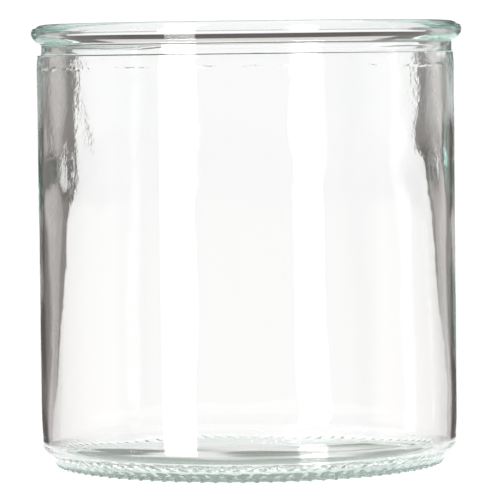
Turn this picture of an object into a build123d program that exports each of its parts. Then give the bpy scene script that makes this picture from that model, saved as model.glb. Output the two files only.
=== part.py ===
from build123d import *

import os

# A straight-sided pressed-and-blown candle jar, one piece of clear soda-lime glass.
# Frame: millimetres, +Z up along the jar's axis, origin on the plane the jar stands on.

# Overall sizes
HEIGHT = 85.0
BODY_RADIUS = 40.25
BEAD_RADIUS = 41.5
MOUTH_RADIUS = 36.2
FLOOR_HEIGHT = 2.3

# Rolled bead at the mouth, with a small ledge where its upper roll meets the outer one
BEAD_HEIGHT = 3.9
BEAD_WIDEST_BELOW_TOP = 1.9
CREST_RADIUS = 38.9
LEDGE_BELOW_TOP = 0.95
LEDGE_INNER_RADIUS = 40.8
LEDGE_OUTER_RADIUS = 41.25

# Neck band between the bead and the line where neck ring and body mould meet
NECK_HEIGHT = 2.0
NECK_TOP_RADIUS = 39.6
NECK_BOTTOM_RADIUS = 39.72
MOULD_STEP = 0.38
SHOULDER_LENGTH = 2.0

# Heel: the wall draws in a little, turns at a crisp corner and runs in a cone to the foot
HEEL_HEIGHT = 3.9
HEEL_RADIUS = 40.05
HEEL_BLEND = 5.1
FOOT_OUTER_RADIUS = 36.9
FOOT_EDGE_RADIUS = 37.6
FOOT_EDGE_HEIGHT = 0.45

# Foot: a flat ring round a shallow push-up
FOOT_INNER_RADIUS = 33.6
PUSH_UP_EDGE_RADIUS = 32.6
PUSH_UP_EDGE_HEIGHT = 0.8
PUSH_UP_HEIGHT = 1.3

# Inside: a straight mouth, then a blown wall (radius, height) that thins on its way down to
# the straight lower bore, and a rounded corner at the floor
MOUTH_LENGTH = 12.5
MOUTH_TOP_BELOW_LIP = 1.2
BLOWN_WALL = [(36.36, 66), (36.75, 60), (37.23, 54), (37.67, 46), (38.09, 36), (38.55, 24)]
LOWER_BORE_RADIUS = 38.8
LOWER_BORE_TOP = 10.0
LOWER_BORE_BOTTOM = 5.5
FLOOR_CORNER_REACH = 3.5
FLOOR_CROWN = 0.1

# Knurl of rounded bumps round the outer edge of the foot
BUMP_COUNT = 92
GROOVE_RADIUS = 0.9
GROOVE_DEPTH = 0.45
GROOVE_INNER_RADIUS = 35.6


def outside_line():
    """Underside, foot, heel, wall, neck and bead, from the axis to the crest of the lip."""
    shoulder_height = HEIGHT - BEAD_HEIGHT - NECK_HEIGHT
    neck_top = HEIGHT - BEAD_HEIGHT
    ledge_height = HEIGHT - LEDGE_BELOW_TOP
    widest_height = HEIGHT - BEAD_WIDEST_BELOW_TOP

    push_up = ThreePointArc(
        (0, PUSH_UP_HEIGHT),
        (PUSH_UP_EDGE_RADIUS / 2, 0.75 * PUSH_UP_HEIGHT + 0.25 * PUSH_UP_EDGE_HEIGHT),
        (PUSH_UP_EDGE_RADIUS, PUSH_UP_EDGE_HEIGHT),
    )
    foot_and_wall = Polyline(
        (PUSH_UP_EDGE_RADIUS, PUSH_UP_EDGE_HEIGHT),
        (FOOT_INNER_RADIUS, 0),
        (FOOT_OUTER_RADIUS, 0),
        (FOOT_EDGE_RADIUS, FOOT_EDGE_HEIGHT),
        (HEEL_RADIUS, HEEL_HEIGHT),
        (BODY_RADIUS, HEEL_HEIGHT + HEEL_BLEND),
        (BODY_RADIUS, shoulder_height - SHOULDER_LENGTH),
        (NECK_BOTTOM_RADIUS + MOULD_STEP, shoulder_height),
        (NECK_BOTTOM_RADIUS, shoulder_height),
        (NECK_TOP_RADIUS, neck_top),
    )
    outer_roll_under = TangentArc(
        (BEAD_RADIUS, widest_height),
        (NECK_TOP_RADIUS, neck_top),
        tangent=(0, -1),
    )
    outer_roll_over = TangentArc(
        (BEAD_RADIUS, widest_height),
        (LEDGE_OUTER_RADIUS, ledge_height),
        tangent=(0, 1),
    )
    ledge = Line((LEDGE_OUTER_RADIUS, ledge_height), (LEDGE_INNER_RADIUS, ledge_height))
    upper_roll = TangentArc(
        (CREST_RADIUS, HEIGHT),
        (LEDGE_INNER_RADIUS, ledge_height),
        tangent=(1, 0),
    )
    return [push_up, foot_and_wall, outer_roll_under, outer_roll_over, ledge, upper_roll]


def inside_line():
    """Inner roll of the lip, mouth, wall and floor, from the crest of the lip to the axis."""
    mouth_top = HEIGHT - MOUTH_TOP_BELOW_LIP
    lip_roll = TangentArc(
        (CREST_RADIUS, HEIGHT),
        (MOUTH_RADIUS, mouth_top),
        tangent=(-1, 0),
    )
    mouth_bottom = mouth_top - MOUTH_LENGTH
    mouth = Line((MOUTH_RADIUS, mouth_top), (MOUTH_RADIUS, mouth_bottom))
    blown_wall = Spline(
        (MOUTH_RADIUS, mouth_bottom),
        *BLOWN_WALL,
        (LOWER_BORE_RADIUS, LOWER_BORE_TOP),
        tangents=[(0, -1), (0, -1)],
    )
    lower_bore = Line(
        (LOWER_BORE_RADIUS, LOWER_BORE_TOP),
        (LOWER_BORE_RADIUS, LOWER_BORE_BOTTOM),
    )
    corner = TangentArc(
        (LOWER_BORE_RADIUS, LOWER_BORE_BOTTOM),
        (LOWER_BORE_RADIUS - FLOOR_CORNER_REACH, FLOOR_HEIGHT),
        tangent=(0, -1),
    )
    floor = Line(
        (LOWER_BORE_RADIUS - FLOOR_CORNER_REACH, FLOOR_HEIGHT),
        (0, FLOOR_HEIGHT + FLOOR_CROWN),
    )
    axis = Line((0, FLOOR_HEIGHT + FLOOR_CROWN), (0, PUSH_UP_HEIGHT))
    return [lip_roll, mouth, blown_wall, lower_bore, corner, floor, axis]


def foot_grooves():
    """Round grooves across the outer edge of the foot, which leave a ring of bumps."""
    length = HEEL_RADIUS - GROOVE_INNER_RADIUS
    groove = Cylinder(
        GROOVE_RADIUS,
        length,
        rotation=(0, 90, 0),
        align=(Align.CENTER, Align.CENTER, Align.MIN),
    )
    groove = Pos(GROOVE_INNER_RADIUS, 0, GROOVE_DEPTH - GROOVE_RADIUS) * groove
    return [
        Rot(0, 0, 360 * (number + 0.5) / BUMP_COUNT) * groove
        for number in range(BUMP_COUNT)
    ]


def glass_jar():
    """The whole jar: one revolved wall with the knurl cut into its foot."""
    outline = Wire(Wire.combine([*outside_line(), *inside_line()])[0])
    section = Plane.XZ * make_face(outline)
    jar = revolve(section, Axis.Z, 360)
    return jar - foot_grooves()


os.makedirs("parts", exist_ok=True)
export_step(glass_jar(), "parts/glass_jar.step")
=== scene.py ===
import math

import bmesh
import bpy
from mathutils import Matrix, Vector, noise


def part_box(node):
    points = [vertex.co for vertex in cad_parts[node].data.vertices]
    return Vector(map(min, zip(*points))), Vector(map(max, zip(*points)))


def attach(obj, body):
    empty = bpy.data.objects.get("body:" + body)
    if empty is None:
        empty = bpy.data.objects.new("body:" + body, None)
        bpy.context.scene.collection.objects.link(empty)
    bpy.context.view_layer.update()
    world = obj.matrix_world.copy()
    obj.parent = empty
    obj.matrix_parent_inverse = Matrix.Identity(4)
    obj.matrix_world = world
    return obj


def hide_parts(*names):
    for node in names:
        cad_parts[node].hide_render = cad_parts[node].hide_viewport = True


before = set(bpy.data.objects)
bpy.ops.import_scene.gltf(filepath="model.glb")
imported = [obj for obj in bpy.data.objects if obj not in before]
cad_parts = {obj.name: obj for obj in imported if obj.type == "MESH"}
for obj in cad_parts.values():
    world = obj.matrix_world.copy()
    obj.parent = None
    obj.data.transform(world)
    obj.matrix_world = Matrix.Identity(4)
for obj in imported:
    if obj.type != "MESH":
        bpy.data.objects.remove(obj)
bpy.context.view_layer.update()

scene = bpy.context.scene
mm = 0.001


# ---------------------------------------------------------------------------------------
# Glass jar. One piece of clear soda-lime glass: the bead and neck are pressed, then the wall
# is blown in a two-part mould, so the outside is smooth and the inside uneven. The knurl
# moulded into the foot keeps most of the hot glass off the belt that carries it away.
# ---------------------------------------------------------------------------------------

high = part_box("glass_jar")[1]
height = high.z
bead_radius = high.x

# Foot and heel
push_up_height = 1.3 * mm
push_up_edge = 0.8 * mm
push_up_radius = bead_radius - 8.9 * mm
foot_inner_radius = bead_radius - 7.9 * mm
foot_radius = bead_radius - 4.3 * mm
heel_radius = bead_radius - 1.45 * mm
heel_height = 3.9 * mm
heel_inset = 0.2 * mm
heel_drop = 0.3 * mm
wall_radius = bead_radius - 1.25 * mm
wall_start = 9.0 * mm

# Shoulder, neck and bead
bead_bottom = height - 3.9 * mm
parting_height = height - 5.9 * mm
shoulder_reach = 0.15 * mm
shoulder_length = 2.0 * mm
neck_radius = bead_radius - 1.9 * mm
neck_flare = 0.12 * mm
neck_start = 0.4 * mm
fillet = 0.35 * mm
fin = 0.13 * mm
roll_height = height - 1.8 * mm
lower_roll = (2.1 * mm, 2.05 * mm)
upper_roll = 2.0 * mm
ledge_angle = 29
crest_radius = bead_radius - 2.6 * mm
dome_reach = 1.9 * mm
dome_rise = 1.0 * mm
finish_offset = 0.25 * mm

# Inside
mouth_radius = bead_radius - 5.3 * mm
mouth_top = height - 1.2 * mm
waist_gain = 1.0 * mm
waist_top = 72 * mm
waist_bottom = 48 * mm
lower_gain = 1.6 * mm
lower_top = 66 * mm
lower_bottom = 10 * mm
inside_steps = 33
corner_top = 5.3 * mm
corner_reach = 3.5 * mm
floor_height = 2.3 * mm
floor_crown = 0.1 * mm
inner_limit = wall_radius - 1.0 * mm

# Unevenness of the blown wall: broad waves all over, and finer splashes round one level
wave_depth = 0.13 * mm
wave_height = 22 * mm
waves_round = 2.2
even_below_mouth = 6 * mm
splash_depth = 0.16 * mm
splash_height = 7 * mm
splashes_round = 7
splash_level = 58 * mm
splash_spread = 9 * mm

# Unevenness of the floor: soft swells, and two low lumps where it set last
swell_depth = 0.22 * mm
swell_width = 14 * mm
swell_layer = 5 * mm
floor_flat_centre = 5 * mm
floor_flat_start = 30 * mm
floor_flat_edge = 36 * mm
lumps = [(-27 * mm, 7 * mm), (27 * mm, 22 * mm)]
lump_rise = 0.26 * mm
lump_reach = 9 * mm

# Corners sharper than this many degrees stay crisp
crease = 33

# Knurl
flute_count = 92
steps_per_flute = 8
flute_depth = 0.7 * mm
flute_reach = 2.0 * mm
flute_top = 2 * mm
flute_inset = 0.6
slack = 0.1 * mm


def line(start, end, steps):
    """Points from start up to, and not including, end."""
    return [
        (
            start[0] + (end[0] - start[0]) * step / steps,
            start[1] + (end[1] - start[1]) * step / steps,
        )
        for step in range(steps)
    ]


def roll(centre, reach, first_angle, last_angle, steps):
    """Points round part of an ellipse, both ends included; angles turn from outwards to up."""
    angles = [
        math.radians(first_angle + (last_angle - first_angle) * step / steps)
        for step in range(steps + 1)
    ]
    return [
        (centre[0] + reach[0] * math.cos(a), centre[1] + reach[1] * math.sin(a))
        for a in angles
    ]


def smooth_step(value, start, end):
    """0 at start and before, 1 at end and after, with a smooth change between."""
    share = min(max((value - start) / (end - start), 0), 1)
    return share * share * (3 - 2 * share)


def crown(radius, edge, rise, steps):
    """Points of a shallow dome from its centre to, and not including, its edge."""
    radii = [radius * step / steps for step in range(steps)]
    return [(r, edge + rise * (1 - (r / radius) ** 2)) for r in radii]


underside = crown(push_up_radius, push_up_edge, push_up_height - push_up_edge, 4)
underside += line((push_up_radius, push_up_edge), (foot_inner_radius, 0), 3)
foot = line((foot_inner_radius, 0), (foot_radius, 0), 6)
heel_cone = line((foot_radius, 0), (heel_radius - heel_inset, heel_height - heel_drop), 10)
heel = line(
    (heel_radius - heel_inset, heel_height - heel_drop), (heel_radius, heel_height), 2
)
wall = line((heel_radius, heel_height), (wall_radius, wall_start), 3)
wall += line((wall_radius, wall_start), (wall_radius, parting_height - shoulder_length), 3)
wall += line(
    (wall_radius, parting_height - shoulder_length),
    (wall_radius - shoulder_reach, parting_height - 2 * fin),
    2,
)
wall += line(
    (wall_radius - shoulder_reach, parting_height - 2 * fin),
    (wall_radius - shoulder_reach + fin, parting_height - fin / 2),
    2,
)
wall += [(wall_radius - shoulder_reach + fin, parting_height - fin / 2)]
neck = [(neck_radius + neck_flare, parting_height)]
neck += line(
    (neck_radius, parting_height + neck_start), (neck_radius, bead_bottom - fillet), 3
)[:2]
neck += [(neck_radius, bead_bottom - fillet - fin)]
neck += roll((neck_radius + fillet, bead_bottom - fillet), (fillet, fillet), 180, 110, 4)
lower_bead = roll((bead_radius - lower_roll[0], roll_height), lower_roll, -78, 0, 12)
upper_bead = roll(
    (bead_radius - upper_roll, roll_height), (upper_roll, upper_roll), 6, ledge_angle, 4
)
dome = roll((crest_radius, height - dome_rise), (dome_reach, dome_rise), 8, 90, 8)
lip = roll(
    (crest_radius, mouth_top), (crest_radius - mouth_radius, height - mouth_top), 98, 180, 9
)
inside = []
for step in range(inside_steps + 1):
    level = mouth_top + (corner_top - mouth_top) * step / inside_steps
    gain = waist_gain * smooth_step(level, waist_top, waist_bottom)
    gain += lower_gain * smooth_step(level, lower_top, lower_bottom)
    inside.append((mouth_radius + gain, level))
corner = roll(
    (inside[-1][0] - corner_reach, corner_top),
    (corner_reach, corner_top - floor_height),
    0,
    -90,
    9,
)
floor_line = line(corner[-1], (0, floor_height + floor_crown), 11)[1:]
outline = underside + foot + heel_cone + heel + wall + neck + lower_bead + upper_bead + dome
outline += lip[:-1] + inside[:-1] + corner + floor_line + [(0, floor_height + floor_crown)]

jar_mesh = bmesh.new()
points = [jar_mesh.verts.new((r, 0, z)) for r, z in outline]
edges = [jar_mesh.edges.new(pair) for pair in zip(points, points[1:])]
bmesh.ops.spin(
    jar_mesh,
    geom=points + edges,
    cent=(0, 0, 0),
    axis=(0, 0, 1),
    angle=math.tau,
    steps=flute_count * steps_per_flute,
    use_merge=True,
)
bmesh.ops.remove_doubles(jar_mesh, verts=jar_mesh.verts, dist=0.001 * mm)
bmesh.ops.recalc_face_normals(jar_mesh, faces=jar_mesh.faces)

for vert in jar_mesh.verts:
    r = math.hypot(vert.co.x, vert.co.y)
    angle = math.atan2(vert.co.y, vert.co.x)
    z = vert.co.z
    outwards = Vector((math.cos(angle), math.sin(angle), 0))
    on_wall = r < inner_limit and corner_top < z < mouth_top
    on_floor = r < inner_limit and floor_height - slack < z < corner_top
    on_knurl = foot_inner_radius - slack < r < heel_radius and z < flute_top
    if on_wall:
        lift = Vector((0, 0, z))
        waves = noise.noise(outwards * waves_round + lift / wave_height)
        splashes = noise.noise(outwards * splashes_round + lift / splash_height)
        splashes *= math.exp(-(((z - splash_level) / splash_spread) ** 2))
        push = wave_depth * waves + splash_depth * splashes
        push *= smooth_step(z, corner_top, corner_top * 3)
        push *= smooth_step(mouth_top - z, 0, even_below_mouth)
        vert.co += outwards * push
    elif on_floor:
        swell = swell_depth * noise.noise(
            Vector((vert.co.x, vert.co.y, swell_layer)) / swell_width
        )
        for lump_x, lump_y in lumps:
            apart = math.hypot(vert.co.x - lump_x, vert.co.y - lump_y)
            swell += lump_rise * math.exp(-((apart / lump_reach) ** 2))
        swell *= smooth_step(r, 0, floor_flat_centre)
        vert.co.z += swell * smooth_step(-r, -floor_flat_edge, -floor_flat_start)
    elif on_knurl:
        along = math.hypot(r - foot_radius, z) / flute_reach
        fade = math.cos(min(along, 1) * math.pi / 2) ** 2
        depth = flute_depth * fade * (0.5 + 0.5 * math.cos(flute_count * angle))
        vert.co += outwards * (-depth * flute_inset) + Vector((0, 0, depth))

# The neck ring and the body mould don't quite line up
for vert in jar_mesh.verts:
    vert.co.x += finish_offset * smooth_step(vert.co.z, parting_height - slack, parting_height)

for face in jar_mesh.faces:
    face.smooth = True
for edge in jar_mesh.edges:
    edge.smooth = edge.calc_face_angle(0) < math.radians(crease)

mesh = bpy.data.meshes.new("glass_jar_wall")
jar_mesh.to_mesh(mesh)
jar_mesh.free()
jar = bpy.data.objects.new("glass_jar_wall", mesh)
scene.collection.objects.link(jar)
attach(jar, "root")
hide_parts("glass_jar")

glass = bpy.data.materials.new("clear_glass")
glass.use_nodes = True
nodes = glass.node_tree.nodes
links = glass.node_tree.links
surface = nodes["Principled BSDF"]
surface.inputs["Base Color"].default_value = (1, 1, 1, 1)
surface.inputs["Roughness"].default_value = 0.0
surface.inputs["Transmission Weight"].default_value = 1.0
surface.inputs["IOR"].default_value = 1.52


def maths(operation, *values):
    """A maths node's output, with each value a number or another node's output."""
    node = nodes.new("ShaderNodeMath")
    node.operation = operation
    for socket, value in zip(node.inputs, values):
        if isinstance(value, (int, float)):
            socket.default_value = value
        else:
            links.new(value, socket)
    return node.outputs[0]


def rise(value, start, end):
    """0 below start and 1 above end, with a smooth change between; falls if end is lower."""
    node = nodes.new("ShaderNodeMapRange")
    node.interpolation_type = "SMOOTHSTEP"
    links.new(value, node.inputs["Value"])
    node.inputs["From Min"].default_value = min(start, end)
    node.inputs["From Max"].default_value = max(start, end)
    node.inputs["To Min"].default_value = 0 if start < end else 1
    node.inputs["To Max"].default_value = 1 if start < end else 0
    return node.outputs["Result"]


def product(*values):
    """The product of numbers and node outputs."""
    result = values[0]
    for value in values[1:]:
        result = maths("MULTIPLY", result, value)
    return result


def total(*values):
    """The sum of numbers and node outputs."""
    result = values[0]
    for value in values[1:]:
        result = maths("ADD", result, value)
    return result


place = nodes.new("ShaderNodeTexCoord")
in_mm = nodes.new("ShaderNodeVectorMath")
in_mm.operation = "SCALE"
in_mm.inputs["Scale"].default_value = 1 / mm
links.new(place.outputs["Object"], in_mm.inputs[0])
split = nodes.new("ShaderNodeSeparateXYZ")
links.new(in_mm.outputs[0], split.inputs[0])
across, along, level = split.outputs
radius = maths("SQRT", total(product(across, across), product(along, along)))


def grain(scale, detail):
    """Noise about zero whose features measure roughly 1/scale millimetres."""
    node = nodes.new("ShaderNodeTexNoise")
    links.new(in_mm.outputs[0], node.inputs["Vector"])
    node.inputs["Scale"].default_value = scale
    node.inputs["Detail"].default_value = detail
    return maths("SUBTRACT", node.outputs["Fac"], 0.5)


# Where each finish lies, in millimetres from the axis and above the table
above_corner = rise(level, 6, 12)
inner_face = product(rise(radius, 39.3, 39.0), above_corner, rise(level, 84, 82))
outer_face = product(rise(radius, 39.3, 39.6), above_corner, rise(level, 82, 80))
heel_face = product(rise(level, 0.1, 0.5), rise(level, 3.6, 3.2), rise(radius, 36.6, 37.2))
foot_face = product(rise(level, 1.3, 0.7), rise(radius, 30, 31))
foot_ring = product(rise(level, 1.4, 0.4), rise(radius, 32.5, 33.5))
underside_face = product(rise(level, 1.7, 1.5), rise(radius, 34, 33))

# Depth of each relief in millimetres: blown ripple and the wavering ridge under the neck
# inside, chill marks outside, stipple on the heel, fine knurl on the foot
low_ripple = 0.004
high_ripple_gain = 0.018
ridge_depth = 0.22
ridge_waver = 0.8
chill_depth = 0.016
stipple_depth = 0.14
fine_knurl_depth = 0.15

ripple_depth = total(product(rise(level, 46, 64), high_ripple_gain), low_ripple)
ripple = product(grain(0.9, 3), ripple_depth)
wavering_level = total(level, product(grain(0.3, 2), ridge_waver))
ridge_band = product(rise(wavering_level, 75.9, 76.35), rise(wavering_level, 76.8, 76.35))
ridge = product(ridge_band, total(grain(0.25, 3), 0.1), ridge_depth)
below_neck = rise(level, 79.5, 77.5)
relief = total(
    product(inner_face, below_neck, total(ripple, ridge)),
    product(outer_face, grain(0.2, 1), chill_depth),
    product(heel_face, grain(1.1, 1), stipple_depth),
    product(foot_face, grain(1.6, 1), fine_knurl_depth),
)
bump = nodes.new("ShaderNodeBump")
bump.inputs["Strength"].default_value = 1
bump.inputs["Distance"].default_value = 1 * mm
links.new(relief, bump.inputs["Height"])
links.new(bump.outputs["Normal"], surface.inputs["Normal"])

# The ring it stands on is scuffed and the underside slightly frosted; the rest is polished
scuff_roughness = 0.6
frost_roughness = 0.35
scuff = product(foot_ring, total(grain(1.5, 4), 0.6), scuff_roughness)
frost = product(underside_face, frost_roughness)
links.new(total(scuff, frost), surface.inputs["Roughness"])

tint = nodes.new("ShaderNodeVolumeAbsorption")
tint.inputs["Color"].default_value = (0.5, 0.84, 0.77, 1)
tint.inputs["Density"].default_value = 10
links.new(tint.outputs["Volume"], nodes["Material Output"].inputs["Volume"])
mesh.materials.append(glass)


# ---------------------------------------------------------------------------------------
# Table. A round of lit white acrylic that the jar stands on. Its glow is a little darker and
# greener under the glass, a painted shadow, with a brighter ring, a painted highlight, where the
# heel gathers the light.
# ---------------------------------------------------------------------------------------

table_radius = 58 * mm
# Painted shadow: the glow is dimmer and greener under the glass, where the jar would shade the
# table
painted_shadow_white = 0.9
open_white = 1.05
# Painted highlight: extra glow in a ring where the heel gathers the light
painted_caustic_white = 0.2
painted_shadow_red = 0.86
painted_shadow_blue = 0.92
painted_shadow_edge = (34 * mm, 38 * mm)
painted_caustic_inner_edge = (33 * mm, 35 * mm)
painted_caustic_outer_edge = (42 * mm, 40 * mm)

table_mesh = bmesh.new()
bmesh.ops.create_circle(table_mesh, cap_ends=True, segments=96, radius=table_radius)
mesh = bpy.data.meshes.new("white_table")
table_mesh.to_mesh(mesh)
table_mesh.free()
table = bpy.data.objects.new("white_table", mesh)
scene.collection.objects.link(table)

table_white = bpy.data.materials.new("white_table")
table_white.use_nodes = True
nodes = table_white.node_tree.nodes
links = table_white.node_tree.links
white = nodes["Principled BSDF"]
white.inputs["Base Color"].default_value = (0, 0, 0, 1)
white.inputs["Specular IOR Level"].default_value = 0
mesh.materials.append(table_white)

place = nodes.new("ShaderNodeTexCoord")
reach = nodes.new("ShaderNodeVectorMath")
reach.operation = "LENGTH"
links.new(place.outputs["Object"], reach.inputs[0])
from_axis = reach.outputs["Value"]
# Painted shadow: the glow drops under the jar and rises to open white beyond it
clear_of_painted_shadow = rise(from_axis, *painted_shadow_edge)
# Painted highlight: a brighter ring of glow where the heel gathers the light
painted_caustic_ring = product(rise(from_axis, *painted_caustic_inner_edge), rise(from_axis, *painted_caustic_outer_edge))
strength = total(
    product(clear_of_painted_shadow, open_white - painted_shadow_white), product(painted_caustic_ring, painted_caustic_white), painted_shadow_white
)
links.new(strength, white.inputs["Emission Strength"])
glow = nodes.new("ShaderNodeCombineColor")
# Painted shadow tint: less red and blue in the glow under the jar
links.new(total(product(clear_of_painted_shadow, 1 - painted_shadow_red), painted_shadow_red), glow.inputs["Red"])
glow.inputs["Green"].default_value = 1
links.new(total(product(clear_of_painted_shadow, 1 - painted_shadow_blue), painted_shadow_blue), glow.inputs["Blue"])
links.new(glow.outputs[0], white.inputs["Emission Color"])


# ---------------------------------------------------------------------------------------
# Studio. A white panel behind the jar, a card on each side, a dim front, a white sweep
# below, a ceiling with a dark gap under it, and one tall softbox front left.
# ---------------------------------------------------------------------------------------

# Brightness of each part
dark = 0.1
panel_white = 1.09
left_card_white = 0.5
right_card_white = 0.62
front_white = 0.28
gap_white = 0.08
ceiling_white = 0.7
ceiling_side_loss = 0.58
sweep_white = 1.03
sweep_side_loss = 0.5
sweep_near_loss = 0.15
softbox_white = 14.0
backdrop_white = 1.1

# Directions in degrees between which each part fades in or out. Turn is 0 behind the jar
# and grows to the right; aside is turn without its sign; up is the angle above level.
softbox_turn = -141.6
softbox_side_edge = (10.0, 7.6)
softbox_bottom_edge = (-13, -12.5)
softbox_top_edge = (60, 59)
panel_side_edge = (14.4, 13.6)
left_card_inner_edge = (-27, -35)
left_card_outer_edge = (-110, -100)
right_card_inner_edge = (27, 34)
right_card_outer_edge = (110, 100)
front_edge = (108, 125)
panel_bottom_edge = (-11, -8)
panel_top_edge = (9, 6)
gap_bottom_edge = (6, 9)
gap_top_edge = (27, 24)
ceiling_edge = (24, 27)
ceiling_dim_inner_edge = (13, 24)
ceiling_dim_outer_edge = (125, 105)
ceiling_dim_top_edge = (50, 38)
sweep_edge = (-8, -11)
sweep_dim_inner_edge = (30, 45)
sweep_dim_bottom_edge = (-50, -30)
sweep_near_edge = (-35, -60)
red_cast = 1.015
red_warmth = 0.12
blue_warmth = 0.06

studio = bpy.data.worlds.new("studio")
scene.world = studio
studio.use_nodes = True
nodes = studio.node_tree.nodes
links = studio.node_tree.links
nodes.clear()

look = nodes.new("ShaderNodeTexCoord")
split = nodes.new("ShaderNodeSeparateXYZ")
links.new(look.outputs["Generated"], split.inputs[0])
x, y, z = split.outputs
turn = maths("DEGREES", maths("ARCTAN2", x, y))
aside = maths("ABSOLUTE", turn)
up = maths("DEGREES", maths("ARCSINE", z))

panel = product(rise(aside, *panel_side_edge), panel_white - dark)
left_card = product(rise(turn, *left_card_inner_edge), rise(turn, *left_card_outer_edge))
left_card = product(left_card, left_card_white - dark)
right_card = product(rise(turn, *right_card_inner_edge), rise(turn, *right_card_outer_edge))
right_card = product(right_card, right_card_white - dark)
front = product(rise(aside, *front_edge), front_white - dark)
ring = total(dark, panel, left_card, right_card, front)
ring = product(ring, rise(up, *panel_bottom_edge), rise(up, *panel_top_edge))
gap = product(rise(up, *gap_bottom_edge), rise(up, *gap_top_edge), gap_white)
ceiling_sides = product(
    rise(aside, *ceiling_dim_inner_edge),
    rise(aside, *ceiling_dim_outer_edge),
    rise(up, *ceiling_dim_top_edge),
)
ceiling = total(product(ceiling_sides, -ceiling_side_loss), ceiling_white)
ceiling = product(rise(up, *ceiling_edge), ceiling)
sweep_sides = product(rise(aside, *sweep_dim_inner_edge), rise(up, *sweep_dim_bottom_edge))
sweep = total(product(sweep_sides, -sweep_side_loss), sweep_white)
sweep = product(rise(up, *sweep_edge), sweep)
sweep_near = product(rise(up, *sweep_near_edge), -sweep_near_loss)
off_softbox = maths("ABSOLUTE", maths("SUBTRACT", turn, softbox_turn))
softbox = product(
    rise(off_softbox, *softbox_side_edge),
    rise(up, *softbox_bottom_edge),
    rise(up, *softbox_top_edge),
    softbox_white,
)
room = total(ring, gap, ceiling, sweep, sweep_near, softbox)

# The darker the room, the warmer it is
shade = maths("SUBTRACT", 1, maths("MINIMUM", room, 1))
colour = nodes.new("ShaderNodeCombineColor")
red = product(room, total(product(shade, red_warmth), red_cast))
blue = product(room, total(product(shade, -blue_warmth), 1))
links.new(red, colour.inputs["Red"])
links.new(room, colour.inputs["Green"])
links.new(blue, colour.inputs["Blue"])

# Seen directly, the backdrop is plain white
path = nodes.new("ShaderNodeLightPath")
backdrop = nodes.new("ShaderNodeMix")
backdrop.data_type = "RGBA"
links.new(path.outputs["Is Camera Ray"], backdrop.inputs["Factor"])
links.new(colour.outputs[0], backdrop.inputs[6])
backdrop.inputs[7].default_value = (backdrop_white, backdrop_white, backdrop_white, 1)
background = nodes.new("ShaderNodeBackground")
links.new(backdrop.outputs[2], background.inputs["Color"])
world_out = nodes.new("ShaderNodeOutputWorld")
links.new(background.outputs[0], world_out.inputs["Surface"])

scene.view_settings.view_transform = "Standard"
glass_bounces = 48
scene.cycles.max_bounces = glass_bounces
scene.cycles.transmission_bounces = glass_bounces
scene.cycles.glossy_bounces = glass_bounces


# ---------------------------------------------------------------------------------------
# Camera. A long lens on a stand in front of the jar, a little below the level of the rim,
# aimed slightly down at the middle of the jar.
# ---------------------------------------------------------------------------------------

camera_distance = 18 * wall_radius
eye_height = height - 6.7 * mm
eye_side = 0.95 * mm
pitch = 2.942
tilt = 0.7
lens_length = 270.4
camera_data = bpy.data.cameras.new("camera")
camera_data.sensor_width = 36
camera_data.lens = lens_length
camera = bpy.data.objects.new("camera", camera_data)
camera.location = (eye_side, -camera_distance, eye_height)
camera.rotation_euler = (math.radians(90 - pitch), math.radians(tilt), 0)
scene.collection.objects.link(camera)
scene.camera = camera
